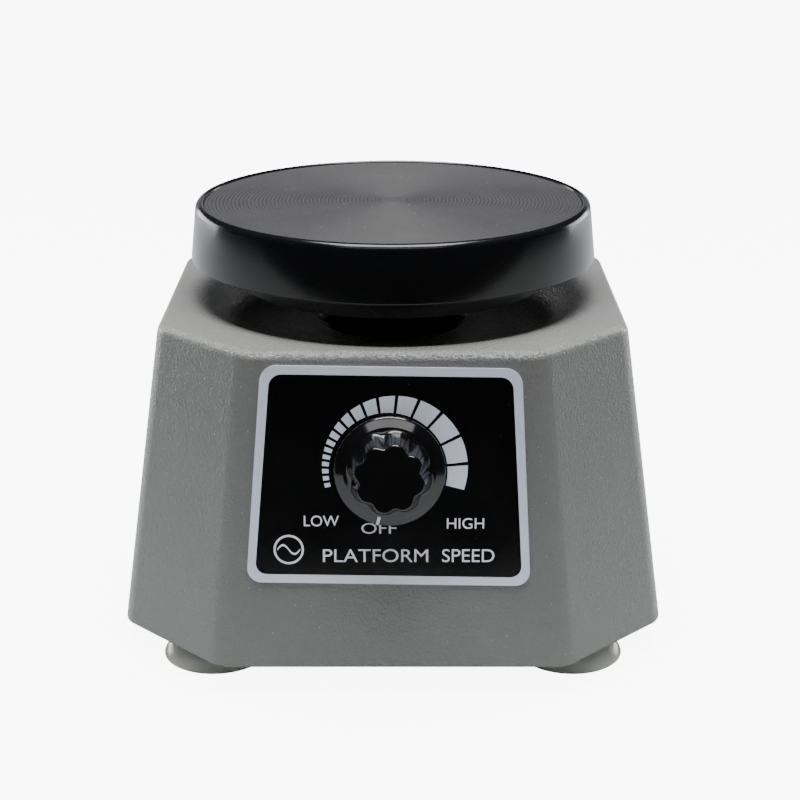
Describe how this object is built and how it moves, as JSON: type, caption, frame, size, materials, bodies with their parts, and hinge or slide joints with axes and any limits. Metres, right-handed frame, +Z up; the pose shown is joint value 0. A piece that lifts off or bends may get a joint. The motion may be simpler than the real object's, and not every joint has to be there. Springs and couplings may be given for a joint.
{
  "type": "vibrating platform mixer",
  "caption": "Bench vibrator with a cast octagonal body on suction feet, a ridged rubber platform shaken by an electromagnet, and a speed knob with an off stop.",
  "frame": {"origin": "bench plane under the axis of the body and platform", "axes": "+Z up, -Y towards the control panel, +X to the right as seen from the panel"},
  "size_m": [0.136, 0.1462, 0.1074],
  "materials": {
    "enamel": "semi-gloss textured enamel",
    "zinc_steel": "zinc plated",
    "plated_screws": "bright zinc",
    "clear_pvc": "translucent soft vinyl",
    "panel_black": "screen-printed black",
    "pot_metal": "plated",
    "brown_laminate": "paper laminate",
    "black_plastic": "satin",
    "phenolic": "polished phenolic",
    "laminations": "silicon steel sheet",
    "rivet_steel": "plated",
    "bobbin_plastic": "natural nylon",
    "copper_wire": "enamelled copper",
    "yellow_tape": "polyester tape",
    "spring_steel": "blued",
    "black_rubber": "satin moulded",
    "disc_metal": "black enamel",
    "board_green": "solder mask",
    "white_plastic": "nylon",
    "sink_aluminium": "anodised",
    "film_yellow": "moulded box",
    "resistor_tan": "lacquer",
    "terminal_brass": "plain",
    "red_wire": "insulated",
    "blue_wire": "insulated",
    "plate_foil": "matt foil"
  },
  "bodies": {
    "body": {"housing": "enamel", "base_plate": "zinc_steel", "foot_washers": "zinc_steel", "magnet_bracket": "zinc_steel", "spring_pillars": "zinc_steel", "spring_spacers": "zinc_steel", "spring_clamps": "zinc_steel", "base_screws": "plated_screws", "foot_studs": "plated_screws", "foot_nuts": "plated_screws", "magnet_screws": "plated_screws", "pillar_screws": "plated_screws", "spring_screws": "plated_screws", "board_screws": "plated_screws", "earth_screw": "plated_screws", "suction_feet": "clear_pvc", "fascia_plate": "panel_black", "pot_body": "pot_metal", "pot_washer": "pot_metal", "pot_nut": "pot_metal", "pot_wafer": "brown_laminate", "pot_switch": "black_plastic", "triac": "black_plastic", "cord_gland": "black_plastic", "gland_nut": "black_plastic", "core_stack": "laminations", "core_rivets": "rivet_steel", "coil_bobbin": "bobbin_plastic", "coil_winding": "copper_wire", "choke": "copper_wire", "coil_tape": "yellow_tape", "leaf_springs": "spring_steel", "dust_seal": "black_rubber", "control_board": "board_green", "board_standoffs": "white_plastic", "terminal_block": "white_plastic", "heat_sink": "sink_aluminium", "capacitor": "film_yellow", "resistors": "resistor_tan", "terminal_screws": "terminal_brass", "earth_tag": "terminal_brass", "coil_leads": "red_wire", "pot_leads": "blue_wire", "rating_panel": "plate_foil"},
    "platform": {"platform_cover": "black_rubber", "platform_disc": "disc_metal", "platform_screw": "plated_screws", "centre_spacer": "zinc_steel", "armature_bracket": "zinc_steel", "armature": "laminations", "armature_screws": "plated_screws"},
    "knob": {"pot_shaft": "pot_metal", "knob": "phenolic", "knob_set_screw": "plated_screws"}
  },
  "joints": [
    {"name": "platform_bounce", "type": "slide", "parent": "body", "child": "platform", "axis": [0, 0, 1], "range_m": [-0.001, 0.001], "stiffness_N_per_m": 20000, "springref_m": 0.0002, "deforming": ["leaf_springs"]},
    {"name": "knob_turn", "type": "hinge", "parent": "body", "child": "knob", "pos_m": [-0.0006, -0.06153, 0.05586], "axis": [0, 0.9909, -0.1343], "range_deg": [0, 280]}
  ]
}
